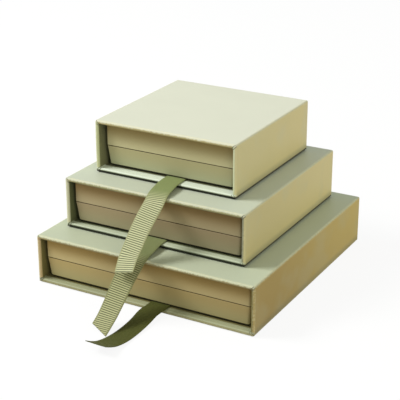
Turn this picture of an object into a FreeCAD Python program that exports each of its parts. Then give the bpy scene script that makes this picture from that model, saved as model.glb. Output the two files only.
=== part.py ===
import FreeCAD, Part
import math
import os
from dataclasses import dataclass

# A set of three paper-covered drawer gift boxes, stacked large, medium and small.
# Each box is a sleeve of greyboard, open at the front, and a lidded inner box that
# slides out of it like a drawer when its ribbon is pulled.
# Millimetres. +Z is up and the mouths face -Y. The origin is the middle of the large
# box's footprint, on the surface that it stands on.

# Outside sizes of the three sleeves
bottom_width = 115.0
bottom_depth = 119.0
bottom_height = 24.4
middle_width = 95.5
middle_depth = 97.0
middle_height = 25.2
top_width = 75.0
top_depth = 77.0
top_height = 26.0

# How far each upper box is set in from the front and the left of the one below it
middle_front_ledge = 15.1
middle_left_ledge = 6.85
top_front_ledge = 13.7
top_left_ledge = 8.65

# Boards and papers
sleeve_board = 1.5
case_board = 1.5
paper = 0.2

# Sleeve: folds, rolled mouth and turned-in paper
sleeve_fold_radius = 1.0
mouth_roll_radius = 0.8
mouth_turn_in = 12.0
mitre_slit = 0.3
back_flange = 10.0
sheet_inset = 1.5

# Inner box: a tapered tray with a lid that meets it flush, set back in its mouth
bottom_mouth_recess = 3.0
middle_mouth_recess = 3.0
top_mouth_recess = 4.6
tray_height = 10.0
tray_taper = 1.1
case_corner_radius = 1.0
foot_bevel = 0.5
rim_bevel = 0.5
lining_rise = 1.5
side_gap = 1.4
ribbon_gap = 0.3
lid_gap = 0.6
back_gap = 0.5
hinge_margin = 3.0
hinge_inset = 4.0

# Ribbon pulls. The upper two are placed from their box's left side, and the bottom one
# lies beside the middle one.
ribbon_width = 10.0
ribbon_thickness = 0.35
ribbon_hidden = 7.5
ribbon_tail_length = 26.0
exit_reach = 0.8
top_ribbon_from_left = 40.8
middle_ribbon_from_left = 48.0
ribbon_side_gap = 0.6
top_ribbon_slant = 0.0
middle_ribbon_slant = 4.5
bottom_ribbon_slant = -1.5

# Routes of the ribbons, chosen by hand. Each point is its distance out beyond the front
# edge that the ribbon passes over, and a height. On the way over the edge the height is
# above the foot of the ribbon's own box, and in the fall above the foot of the set.
top_over_edge = [(-6.5, 2.1), (-0.2, 1.3), (4.3, -1.4)]
top_fall = [
    (7.9, 44.8), (11.3, 41.0), (14.8, 37.1), (18.3, 32.9), (22.0, 29.0), (25.6, 25.8),
    (28.1, 23.4),
]
middle_over_edge = [(-7.3, 2.4), (-0.6, 1.5), (4.9, -0.8)]
middle_fall = [(9.9, 20.0), (14.9, 15.4), (19.0, 9.6), (24.1, 3.8), (31.3, 0.4)]
bottom_over_edge = [(5.6, 2.3), (12.2, 1.0)]
bottom_fall = [(19.9, 0.6), (27.9, 0.5), (35.5, 1.5), (41.8, 3.1), (46.8, 5.9)]

# Share of the shorter run that each bend of a ribbon takes up, and how far a cutting
# block reaches past what it cuts
turn_share = 0.45
overshoot = 1.0

# Worked out from the sizes above
lip = sleeve_board + 2 * paper
inner_offset = case_board + 2 * paper


@dataclass(frozen=True)
class GiftBox:
    """One box of the set: its outside size, its place and its ribbon."""

    name: str
    width: float
    depth: float
    height: float
    left: float
    mouth: float
    foot: float
    front_ledge: float
    mouth_recess: float
    ribbon_from_left: float
    ribbon_slant: float
    over_edge: list
    fall: list

    @property
    def x(self):
        """Middle of the box from side to side, in the set."""
        return self.left + self.width / 2

    @property
    def y(self):
        """Middle of the box from mouth to back, in the set."""
        return self.mouth + self.depth / 2

    @property
    def ribbon_x(self):
        """Middle of the ribbon's width from the middle of the box."""
        return self.ribbon_from_left - self.width / 2

    @property
    def floor(self):
        """Height of the sleeve's lined floor above the box's foot."""
        return paper + lip

    @property
    def case_foot(self):
        """Height of the tray's foot, which stands on the ribbon."""
        return self.floor + ribbon_gap + ribbon_thickness

    @property
    def case_half_width(self):
        """Half the inner box's width, a gap clear of the sleeve's lined sides."""
        return self.width / 2 - lip - side_gap

    @property
    def case_front(self):
        """The inner box's front, set back in the mouth."""
        return -self.depth / 2 + self.mouth_recess

    @property
    def case_back(self):
        """The inner box's back, a gap clear of the lined back and the hinge strip."""
        return self.depth / 2 - 2 * paper - sleeve_board - paper - back_gap - paper

    @property
    def lid_height(self):
        """The lid's height, which fills the mouth above the tray but for a gap."""
        return self.height - lip - lid_gap - self.case_foot - tray_height


def slab(x, y, z):
    """A block between the two ends given for each axis."""
    corner = FreeCAD.Vector(x[0], y[0], z[0])
    return Part.makeBox(x[1] - x[0], y[1] - y[0], z[1] - z[0], corner)


def edges_along(shape, axis):
    """Straight edges that run along an axis."""
    found = []
    for edge in shape.Edges:
        tangent = edge.tangentAt(edge.FirstParameter)
        straight = edge.Curve.TypeId == "Part::GeomLine"
        if straight and abs(tangent.dot(axis)) > 0.999:
            found.append(edge)
    return found


def edges_at(shape, axis_name, value):
    """Edges that lie wholly in the plane where one coordinate has this value."""
    low = axis_name + "Min"
    high = axis_name + "Max"
    near = 1e-4
    return [
        edge for edge in shape.Edges
        if abs(getattr(edge.BoundBox, low) - value) < near
        and abs(getattr(edge.BoundBox, high) - value) < near
    ]


def flat_outline(x, y, level):
    """A rectangle in a level plane, as one closed wire."""
    corners = [(x[0], y[0]), (x[1], y[0]), (x[1], y[1]), (x[0], y[1]), (x[0], y[0])]
    return Part.makePolygon([FreeCAD.Vector(px, py, level) for px, py in corners])


def bevel_under(radius):
    """The bevel of a board's edge that keeps its paper whole under a rounded fold."""
    diagonal = math.sqrt(2)
    return diagonal * (radius * (diagonal - 1) - paper * (diagonal - 1))


def bevel_within(bevel):
    """The bevel of a board's edge under a bevelled fold, a paper's thickness in."""
    return bevel - paper * (2 - math.sqrt(2))


def sleeve_pieces(box):
    """Boards and papers of one sleeve, round the box's own middle, foot at zero."""
    along = FreeCAD.Vector(0, 1, 0)
    mouth = -box.depth / 2
    rear = box.depth / 2

    def cross(offset):
        """Left, right and low, high limits at a depth below the cover's outside."""
        half = box.width / 2 - offset
        return (-half, half), (paper + offset, box.height - offset)

    outer_x, outer_z = cross(0)
    board_x, board_z = cross(paper)
    room_x, room_z = cross(paper + sleeve_board)
    bore_x, bore_z = cross(lip)
    board_front = mouth + paper
    board_rear = rear - 2 * paper
    room_rear = board_rear - sleeve_board

    outside = slab(outer_x, (mouth, rear - paper), outer_z)
    outside = outside.makeFillet(sleeve_fold_radius, edges_along(outside, along))
    bore = slab(bore_x, (mouth - overshoot, room_rear - paper), bore_z)
    rolled = outside.cut(bore)
    rolled = rolled.makeFillet(mouth_roll_radius, edges_at(rolled, "Y", mouth))

    boards = slab(board_x, (board_front, board_rear), board_z)
    boards = boards.makeChamfer(bevel_under(sleeve_fold_radius), edges_along(boards, along))
    boards = boards.cut(slab(room_x, (mouth, rear), room_z))
    front_edges = edges_at(boards, "Y", board_front)
    boards = boards.makeChamfer(bevel_under(mouth_roll_radius), front_edges)

    behind_turn_in = (mouth + mouth_turn_in, board_rear)
    cover = rolled.cut(boards).cut(slab(room_x, behind_turn_in, room_z))
    window = slab(
        (outer_x[0] + back_flange, outer_x[1] - back_flange),
        (board_rear - overshoot, rear),
        (outer_z[0] + back_flange / 2, outer_z[1] - back_flange / 2),
    )
    cover = cut_mitre_slits(cover.cut(window), outer_x, outer_z, mouth)

    lined_room = slab(room_x, (mouth + mouth_turn_in, room_rear), room_z)
    sheet_x = (outer_x[0] + sheet_inset, outer_x[1] - sheet_inset)
    sheet_z = (outer_z[0] + sheet_inset, outer_z[1] - sheet_inset)
    pieces = {
        "sleeve_cover_paper": cover,
        "sleeve_lining_paper": lined_room.cut(bore),
        "sleeve_back_board": slab(room_x, (room_rear, board_rear), room_z),
        "sleeve_back_sheet": slab(sheet_x, (rear - paper, rear), sheet_z),
        "sleeve_base_sheet": slab(
            sheet_x, (mouth + sheet_inset, rear - sheet_inset), (0, paper)
        ),
    }
    pieces.update(mitred_boards(boards, board_x, board_z, board_front, board_rear))
    return pieces


def mitred_boards(boards, board_x, board_z, front, rear):
    """The folded board tube as its four panels, parted along the V-grooved corners."""
    depth = FreeCAD.Vector(0, rear - front, 0)
    reach = sleeve_board
    x0, x1 = board_x
    z0, z1 = board_z

    def panel(*points):
        """The boards within a prism on these corners of the section."""
        corners = [FreeCAD.Vector(px, front, pz) for px, pz in points]
        prism = Part.Face(Part.makePolygon(corners + corners[:1])).extrude(depth)
        return boards.common(prism)

    return {
        "sleeve_floor_board": panel(
            (x0, z0), (x1, z0), (x1 - reach, z0 + reach), (x0 + reach, z0 + reach)
        ),
        "sleeve_top_board": panel(
            (x0, z1), (x1, z1), (x1 - reach, z1 - reach), (x0 + reach, z1 - reach)
        ),
        "sleeve_left_board": panel(
            (x0, z0), (x0 + reach, z0 + reach), (x0 + reach, z1 - reach), (x0, z1)
        ),
        "sleeve_right_board": panel(
            (x1, z0), (x1 - reach, z0 + reach), (x1 - reach, z1 - reach), (x1, z1)
        ),
    }


def cut_mitre_slits(cover, outer_x, outer_z, mouth):
    """Open the fine diagonal slits where the paper is mitred at the mouth's corners."""
    centre_z = (outer_z[0] + outer_z[1]) / 2
    for corner_x in outer_x:
        for corner_z in outer_z:
            across = -math.copysign(1, corner_x)
            upward = -math.copysign(1, corner_z - centre_z)
            slit_start = sleeve_fold_radius / 2
            slit = slab(
                (slit_start, slit_start + 1.5 * lip), (0, mouth_roll_radius),
                (-mitre_slit / 2, mitre_slit / 2)
            )
            angle = -math.degrees(math.atan2(upward, across))
            slit.rotate(FreeCAD.Vector(0, 0, 0), FreeCAD.Vector(0, 1, 0), angle)
            slit.translate(FreeCAD.Vector(corner_x, mouth, corner_z))
            cover = cover.cut(slit)
    return cover


def case_pieces(box, height, taper):
    """Board, cover and lining of a tray that stands on its foot at zero, mouth up."""
    half = box.case_half_width

    def form(offset, low, high):
        """The case's outline at a depth below its outside, between two heights."""
        outlines = []
        for level in (low, high):
            inset = offset + taper * (height - level) / height
            x = (-half + inset, half - inset)
            y = (box.case_front + inset, box.case_back - inset)
            outlines.append(flat_outline(x, y, level))
        return Part.makeLoft(outlines, True, True)

    def upright_edges(shape):
        """The edges up the case's corners."""
        return [e for e in shape.Edges if e.BoundBox.ZLength > height / 2]

    outside = form(0, 0, height)
    outside = outside.makeFillet(case_corner_radius, upright_edges(outside))
    outside = outside.makeChamfer(foot_bevel, edges_at(outside, "Z", 0))
    bore = form(inner_offset, inner_offset, height + overshoot)
    shell = outside.cut(bore)
    shell = shell.makeChamfer(rim_bevel, edges_at(shell, "Z", height))

    board_top = height - paper
    room_offset = case_board + paper
    board = form(paper, paper, board_top)
    board = board.makeChamfer(bevel_under(case_corner_radius), upright_edges(board))
    board = board.makeChamfer(bevel_within(foot_bevel), edges_at(board, "Z", paper))
    board = board.cut(form(room_offset, room_offset, height + overshoot))
    board = board.makeChamfer(bevel_within(rim_bevel), edges_at(board, "Z", board_top))

    lined_room = form(room_offset, room_offset, room_offset + lining_rise)
    return {
        "board": board,
        "cover_paper": shell.cut(board).cut(lined_room),
        "lining_paper": lined_room.cut(bore),
    }


def drawer_pieces(box):
    """Tray, lid, hinge strip and glued ribbon end of one box's sliding inner box."""
    parting = box.case_foot + tray_height
    lid_top = parting + box.lid_height
    pieces = {}
    for name, shape in case_pieces(box, tray_height, tray_taper).items():
        shape.translate(FreeCAD.Vector(0, 0, box.case_foot))
        pieces["tray_" + name] = shape
    for name, shape in case_pieces(box, box.lid_height, 0).items():
        upturned = shape.mirror(FreeCAD.Vector(0, 0, 0), FreeCAD.Vector(0, 0, 1))
        upturned.translate(FreeCAD.Vector(0, 0, lid_top))
        pieces["lid_" + name] = upturned
    pieces["hinge_strip"] = hinge_strip(box, parting, lid_top)
    tail_front = box.case_front + ribbon_hidden
    pieces["ribbon_tail"] = slab(
        (box.ribbon_x - ribbon_width / 2, box.ribbon_x + ribbon_width / 2),
        (tail_front, tail_front + ribbon_tail_length),
        (box.case_foot - ribbon_thickness, box.case_foot),
    )
    return pieces


def hinge_strip(box, parting, lid_top):
    """The paper strip glued over the back of tray and lid, creased at the parting."""
    half = box.case_half_width - hinge_inset
    back = box.case_back
    low = box.case_foot + hinge_margin
    high = lid_top - hinge_margin
    lean = tray_taper * (parting - low) / tray_height
    section = [
        (back, high), (back + paper, high), (back + paper, parting),
        (back + paper - lean, low), (back - lean, low), (back, parting),
    ]
    corners = [FreeCAD.Vector(-half, py, pz) for py, pz in section]
    face = Part.Face(Part.makePolygon(corners + corners[:1]))
    return face.extrude(FreeCAD.Vector(2 * half, 0, 0))


def pull_route(box):
    """Points of a ribbon's left edge, from the tray's foot to the ribbon's end."""
    left = box.ribbon_x - ribbon_width / 2
    mouth = -box.depth / 2
    edge = mouth - box.front_ledge
    under_tray = box.floor + ribbon_gap + ribbon_thickness / 2
    points = [
        FreeCAD.Vector(left, box.case_front + ribbon_hidden, under_tray),
        FreeCAD.Vector(left, mouth - exit_reach, under_tray),
    ]
    for out, up in box.over_edge:
        points.append(FreeCAD.Vector(left, edge - out, up))
    for out, up in box.fall:
        points.append(FreeCAD.Vector(left, edge - out, up - box.foot))
    return points


def ribbon_pull(box):
    """The ribbon's free length: straight runs joined by arcs, cut to its slanted end."""
    points = pull_route(box)
    face, length = strip_face(points, ribbon_thickness, box.name)
    strip = face.extrude(FreeCAD.Vector(ribbon_width, 0, 0))
    share = strip.Volume / (ribbon_width * ribbon_thickness * length)
    print(f"{box.name} ribbon: {length:.1f} mm long, volume {share:.4f} of section by length")
    if box.ribbon_slant:
        strip = strip.cut(slant_offcut(box, points[-1]))
    return strip


def slant_offcut(box, end):
    """What the slanted end cut takes off the ribbon."""
    left = box.ribbon_x - ribbon_width / 2
    right = left + ribbon_width
    short_side, long_side = (left, right) if box.ribbon_slant > 0 else (right, left)
    tip = end.y - 2 * ribbon_thickness
    low = end.z - ribbon_width
    corners = [
        FreeCAD.Vector(short_side, end.y + abs(box.ribbon_slant), low),
        FreeCAD.Vector(long_side, tip, low),
        FreeCAD.Vector(short_side, tip - overshoot, low),
    ]
    side = FreeCAD.Vector(short_side - long_side, 0, 0).normalize()
    corners[0] += side
    corners[2] += side
    face = Part.Face(Part.makePolygon(corners + corners[:1]))
    return face.extrude(FreeCAD.Vector(0, 0, 2 * ribbon_width))


def strip_face(points, thickness, label):
    """The side view of a strip along a route in a plane of constant X, and its length."""
    stations = []
    radii = []
    length = 0
    reached = points[0]
    for before, here, after in zip(points, points[1:], points[2:]):
        run_in = here - before
        run_out = after - here
        turn = run_in.getAngle(run_out)
        tangent = turn_share * min(run_in.Length, run_out.Length)
        radius = tangent / math.tan(turn / 2)
        direction_in = run_in.normalize()
        direction_out = run_out.normalize()
        left_turn = direction_in.y * direction_out.z - direction_in.z * direction_out.y
        side = math.copysign(1, left_turn)
        normal = FreeCAD.Vector(0, -direction_in.z, direction_in.y)
        first = here - direction_in * tangent
        last = here + direction_out * tangent
        centre = first + normal * (side * radius)
        stations.append((first, last, centre, here, radius, side))
        radii.append(round(radius, 1))
        length += reached.distanceToPoint(first) + radius * turn
        reached = last
    length += reached.distanceToPoint(points[-1])
    print(label, "ribbon's radii", radii)

    def offset_edges(shift):
        """Edges of the route moved to its left by half the thickness or to its right."""
        start_run = (points[1] - points[0]).normalize()
        end_run = (points[-1] - points[-2]).normalize()
        at = points[0] + FreeCAD.Vector(0, -start_run.z, start_run.y) * shift
        edges = []
        for first, last, centre, corner, radius, side in stations:
            share = (radius - side * shift) / radius
            begin = centre + (first - centre) * share
            finish = centre + (last - centre) * share
            middle = centre + (corner - centre).normalize() * (radius * share)
            edges.append(Part.LineSegment(at, begin).toShape())
            edges.append(Part.Arc(begin, middle, finish).toShape())
            at = finish
        end = points[-1] + FreeCAD.Vector(0, -end_run.z, end_run.y) * shift
        edges.append(Part.LineSegment(at, end).toShape())
        return edges, end

    left, left_end = offset_edges(thickness / 2)
    right, right_end = offset_edges(-thickness / 2)
    left_start = left[0].Vertexes[0].Point
    right_start = right[0].Vertexes[0].Point
    end_cut = Part.LineSegment(left_end, right_end).toShape()
    start_cut = Part.LineSegment(left_start, right_start).toShape()
    outline = Part.Wire(Part.__sortEdges__(left + right + [end_cut, start_cut]))
    return Part.Face(outline), length


def build_box(box):
    """Every piece of one box, in its place in the set, by its node's name."""
    pieces = sleeve_pieces(box)
    pieces.update(drawer_pieces(box))
    pieces["ribbon_pull"] = ribbon_pull(box)
    placed = {}
    for name, shape in pieces.items():
        shape.translate(FreeCAD.Vector(box.x, box.y, box.foot))
        placed[box.name + "_" + name] = shape
    return placed


def boxes():
    """The three boxes of the set, from the foot of the stack up."""
    bottom_left = -bottom_width / 2
    bottom_mouth = -bottom_depth / 2
    middle_left = bottom_left + middle_left_ledge
    middle_mouth = bottom_mouth + middle_front_ledge
    top_left = middle_left + top_left_ledge
    top_mouth = middle_mouth + top_front_ledge
    beside_middle_ribbon = (
        middle_left_ledge + middle_ribbon_from_left + ribbon_width + ribbon_side_gap
    )
    return [
        GiftBox("bottom", bottom_width, bottom_depth, bottom_height,
                bottom_left, bottom_mouth, 0.0, 0.0, bottom_mouth_recess,
                beside_middle_ribbon, bottom_ribbon_slant, bottom_over_edge, bottom_fall),
        GiftBox("middle", middle_width, middle_depth, middle_height,
                middle_left, middle_mouth, bottom_height,
                middle_front_ledge, middle_mouth_recess,
                middle_ribbon_from_left, middle_ribbon_slant, middle_over_edge, middle_fall),
        GiftBox("top", top_width, top_depth, top_height,
                top_left, top_mouth, bottom_height + middle_height,
                top_front_ledge, top_mouth_recess,
                top_ribbon_from_left, top_ribbon_slant, top_over_edge, top_fall),
    ]


def main():
    """Write one STEP file for each piece of the three boxes."""
    os.makedirs("parts", exist_ok=True)
    for box in boxes():
        for name, shape in build_box(box).items():
            shape.exportStep("parts/" + name + ".step")
            solids = len(shape.Solids)
            print(f"{name}: solids {solids}, valid {shape.isValid()}, {shape.Volume:.1f} mm3")


if __name__ == "__main__":
    main()
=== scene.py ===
"""A stacked set of three drawer gift boxes, dressed around its construction frame.

Metres. +Z is up and the mouths of the boxes face -Y. Each box has a paper-wrapped sleeve,
a lidded inner case that slides in it, and a grosgrain ribbon to pull the case out.
"""

import logging
import math
from abc import ABC, abstractmethod
from collections.abc import Callable, Iterator, Sequence
from contextlib import contextmanager
from dataclasses import dataclass
from enum import Enum
from functools import cached_property
from typing import NamedTuple

import bmesh
import bpy
from mathutils import Matrix, Vector


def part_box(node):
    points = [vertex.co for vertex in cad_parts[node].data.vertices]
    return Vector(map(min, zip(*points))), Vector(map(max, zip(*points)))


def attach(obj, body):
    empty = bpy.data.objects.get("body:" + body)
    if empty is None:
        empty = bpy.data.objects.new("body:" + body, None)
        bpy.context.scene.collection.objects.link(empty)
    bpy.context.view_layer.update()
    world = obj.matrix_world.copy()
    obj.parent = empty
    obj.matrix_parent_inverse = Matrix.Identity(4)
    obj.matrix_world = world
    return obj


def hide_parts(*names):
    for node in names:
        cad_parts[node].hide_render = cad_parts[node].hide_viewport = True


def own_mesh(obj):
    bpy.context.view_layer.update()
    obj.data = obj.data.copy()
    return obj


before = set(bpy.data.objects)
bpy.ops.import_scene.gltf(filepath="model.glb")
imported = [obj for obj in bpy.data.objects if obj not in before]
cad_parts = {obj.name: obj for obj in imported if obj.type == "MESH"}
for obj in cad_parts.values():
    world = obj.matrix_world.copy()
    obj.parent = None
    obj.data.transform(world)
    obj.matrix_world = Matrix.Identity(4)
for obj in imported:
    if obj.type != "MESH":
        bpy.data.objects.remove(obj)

MM = 0.001
log = logging.getLogger("gift_boxes")

# A colour as the eye reads it, each part from 0 to 255
Rgb = tuple[int, int, int]
# Where a smooth change starts and where it ends
Span = tuple[float, float]
Place = tuple[float, float, float]
Piece = bpy.types.Object
Socket = bpy.types.NodeSocket
Paint = Rgb | Socket

# Places closer than this are the same, and a normal that reaches further than this
# along an axis faces that way
NEAR = 0.01 * MM
FACING = 0.9
WHITE = (1.0, 1.0, 1.0, 1.0)
# The sockets of a Mix node that blends colours
MIX_SHARE, MIX_FIRST, MIX_SECOND, MIX_RESULT = 0, 6, 7, 2


class BoxName(Enum):
    """The three boxes of the set, from the foot of the stack up."""

    BOTTOM = "bottom"
    MIDDLE = "middle"
    TOP = "top"


class Slot(Enum):
    """The material slots of the pieces that are made here."""

    SLEEVE = "sleeve_paper"
    TRAY = "tray_paper"
    LID = "lid_paper"
    RIBBON = "ribbon"


class Mark(Enum):
    """What a ribbon's mesh says of each point: on a rib, in the selvedge, by the mouth."""

    RIB = "rib"
    EDGE = "edge"
    NEAR = "near"


def linear(colour: Rgb) -> tuple[float, float, float, float]:
    """A colour as the eye reads it, from 0 to 255, as a shader takes it.

    Args:
        colour: red, green and blue from 0 to 255.

    Returns:
        The linear red, green and blue with an alpha of 1.
    """
    parts = []
    for value in colour:
        share = value / 255
        parts.append(share / 12.92 if share <= 0.04045 else ((share + 0.055) / 1.055) ** 2.4)
    return (parts[0], parts[1], parts[2], 1.0)


@dataclass(frozen=True)
class Limits:
    """The lowest and highest corner of a piece."""

    low: Vector
    high: Vector

    @classmethod
    def of(cls, node: str) -> "Limits":
        """The limits of a node of the frame."""
        low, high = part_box(node)
        return cls(low, high)

    @property
    def middle(self) -> Vector:
        """The middle of the piece."""
        return (self.low + self.high) / 2

    @property
    def size(self) -> Vector:
        """The piece's size along each axis."""
        return self.high - self.low


PAPER = Limits.of("bottom_sleeve_base_sheet").size.z
SLEEVE_BOARD = Limits.of("bottom_sleeve_left_board").size.x
LIP = SLEEVE_BOARD + 2 * PAPER


class Bench:
    """Hand work on meshes: selection in code, edit-mode operators, applied modifiers."""

    @staticmethod
    def clear() -> None:
        """Leave nothing selected."""
        bpy.ops.object.select_all(action="DESELECT")

    @staticmethod
    def take(piece: Piece) -> None:
        """Select one piece alone and make it the active one.

        Args:
            piece: the object to select.
        """
        Bench.clear()
        piece.select_set(True)
        bpy.context.view_layer.objects.active = piece

    @staticmethod
    def settle(piece: Piece) -> None:
        """Put the piece's place, turn and scale into its mesh."""
        Bench.take(piece)
        bpy.ops.object.transform_apply(location=True, rotation=True, scale=True)

    @staticmethod
    def block(name: str, limits: Limits) -> Piece:
        """A block between two corners, as the start of a piece.

        Args:
            name: the piece's name.
            limits: the block's corners.

        Returns:
            The new object, unturned and unscaled at the origin.
        """
        Bench.clear()
        bpy.ops.mesh.primitive_cube_add(size=1.0, location=limits.middle)
        piece = bpy.context.object
        piece.name = name
        piece.data.name = name
        piece.scale = limits.size
        Bench.settle(piece)
        return piece

    @staticmethod
    @contextmanager
    def editing(piece: Piece) -> Iterator[None]:
        """Edit the faces of one piece, with none selected at first.

        Args:
            piece: the object to edit.
        """
        Bench.take(piece)
        bpy.ops.object.mode_set(mode="EDIT")
        bpy.ops.mesh.select_mode(type="FACE")
        bpy.ops.mesh.select_all(action="DESELECT")
        yield
        bpy.ops.object.mode_set(mode="OBJECT")

    @staticmethod
    def pick(piece: Piece, test: Callable[[Vector, Vector], bool]) -> None:
        """Select the faces whose middle and normal pass a test, in edit mode.

        Args:
            piece: the object in edit mode.
            test: says of a face's middle and normal whether it is wanted.
        """
        bpy.ops.mesh.select_all(action="DESELECT")
        form = bmesh.from_edit_mesh(piece.data)
        for face in form.faces:
            face.select_set(test(face.calc_center_median(), face.normal))
        bmesh.update_edit_mesh(piece.data)

    @staticmethod
    def slice(axis: int, places: Sequence[float]) -> None:
        """Cut the whole piece in edit mode with planes square to an axis, keeping all of it.

        Args:
            axis: 0, 1 or 2 for X, Y or Z.
            places: where the planes stand along the axis.
        """
        normal = Vector((0, 0, 0))
        normal[axis] = 1
        for place in places:
            bpy.ops.mesh.select_all(action="SELECT")
            bpy.ops.mesh.bisect(plane_co=normal * place, plane_no=normal)

    @staticmethod
    def even(low: float, high: float, steps: int) -> list[float]:
        """Places at even steps from one end to the other, with both ends."""
        return [low + (high - low) * index / steps for index in range(steps + 1)]

    @staticmethod
    def cells(limits: Limits, axes: Sequence[int], edge: float, cell: float) -> None:
        """Cut the whole piece in edit mode into cells of about one size.

        Args:
            limits: the piece's corners.
            axes: the axes that the cuts stand square to.
            edge: how far in from the corners the first and last cut stand.
            cell: the size of a cell.
        """
        for axis in axes:
            low, high = limits.low[axis] + edge, limits.high[axis] - edge
            Bench.slice(axis, Bench.even(low, high, round((high - low) / cell)))

    @staticmethod
    def round_over(
        piece: Piece, radius: float, steps: int, share: Callable[[Vector, Vector], float]
    ) -> None:
        """Round the edges of a piece, each by its share of a radius.

        Args:
            piece: the object.
            radius: the full radius.
            steps: how many faces a round has.
            share: the share for an edge, from the places of its two ends.
        """
        mesh = piece.data
        layer = mesh.attributes.new("bevel_weight_edge", "FLOAT", "EDGE")
        for edge in mesh.edges:
            ends = [mesh.vertices[index].co for index in edge.vertices]
            layer.data[edge.index].value = share(ends[0], ends[1])
        Bench.work(
            piece, "BEVEL", width=radius, segments=steps, limit_method="WEIGHT",
            use_clamp_overlap=False
        )

    @staticmethod
    def ripple(piece: Piece, size: float, depth: float, share: Callable[[Vector], float]) -> None:
        """Make a sheet a little uneven, as paper glued over board is.

        Args:
            piece: the sheet, cut into cells.
            size: the size of its waves.
            depth: their depth, from the lowest to the highest.
            share: the share of the depth for a vertex, from its place.
        """
        group = piece.vertex_groups.new(name="ripple")
        for vertex in piece.data.vertices:
            group.add([vertex.index], share(vertex.co), "REPLACE")
        texture = bpy.data.textures.new(f"{piece.name}_ripple", "CLOUDS")
        texture.noise_scale = size
        Bench.work(
            piece, "DISPLACE", texture=texture, strength=depth, mid_level=0.5,
            vertex_group="ripple", texture_coords="LOCAL"
        )

    @staticmethod
    def work(piece: Piece, kind: str, **settings: object) -> None:
        """Add a modifier and apply it.

        Args:
            piece: the object.
            kind: the modifier's type.
            settings: the modifier's settings by name.
        """
        Bench.take(piece)
        modifier = piece.modifiers.new(kind.lower(), kind)
        for name, value in settings.items():
            setattr(modifier, name, value)
        bpy.ops.object.modifier_apply(modifier=modifier.name)

    @staticmethod
    def smooth(piece: Piece, angle: float = 35.0) -> None:
        """Shade the piece smooth, apart from edges sharper than an angle in degrees."""
        Bench.take(piece)
        bpy.ops.object.shade_smooth_by_angle(angle=math.radians(angle))

    @staticmethod
    def join(first: Piece, others: Sequence[Piece]) -> None:
        """Make other pieces part of a piece.

        Args:
            first: the piece that stays.
            others: the pieces that become part of it.
        """
        Bench.clear()
        for other in others:
            other.select_set(True)
        first.select_set(True)
        bpy.context.view_layer.objects.active = first
        bpy.ops.object.join()


class Nodes:
    """The node tree of a material or a world, filled step by step."""

    def __init__(self, owner: bpy.types.ID, kind: str) -> None:
        """Empty the tree, but for its output.

        Args:
            owner: the material or the world.
            kind: Material or World.
        """
        owner.use_nodes = True
        self.tree = owner.node_tree
        self.tree.nodes.clear()
        self.surface = self.tree.nodes.new(f"ShaderNodeOutput{kind}").inputs["Surface"]

    def feed(self, socket: Socket, value: object) -> None:
        """Link a socket to an input, or set a plain value on it.

        Args:
            socket: the input.
            value: the socket or the plain value.
        """
        if isinstance(value, Socket):
            self.tree.links.new(value, socket)
        else:
            socket.default_value = value

    def step(
        self, kind: str, output: int | str, inputs: dict[int | str, object], **settings: str
    ) -> Socket:
        """Add a node.

        Args:
            kind: what kind of shader node it is.
            output: the name or number of the output that is wanted.
            inputs: a socket or a plain value for each input, by its name or number.
            settings: the node's own settings by name.

        Returns:
            The socket of the output.
        """
        node = self.tree.nodes.new(f"ShaderNode{kind}")
        for name, value in settings.items():
            setattr(node, name, value)
        for name, value in inputs.items():
            self.feed(node.inputs[name], value)
        return node.outputs[output]

    def math(self, operation: str, *values: object) -> Socket:
        """One step of arithmetic with sockets and numbers."""
        return self.step("Math", 0, dict(enumerate(values)), operation=operation)

    def show(self, lit: Socket, seen: Socket, share: float) -> None:
        """Give other light one shader, and what the camera sees mostly another.

        Args:
            lit: the shader that gives or takes other light.
            seen: the shader that the camera sees, straight or in a gloss.
            share: how much of it the camera sees.
        """
        rays = self.tree.nodes.new("ShaderNodeLightPath").outputs
        visible = self.math("MAXIMUM", rays["Is Camera Ray"], rays["Is Glossy Ray"])
        visible = self.math("MAXIMUM", visible, rays["Is Transmission Ray"])
        visible = self.math("MULTIPLY", visible, share)
        self.feed(self.surface, self.step("MixShader", 0, {0: visible, 1: lit, 2: seen}))


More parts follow.
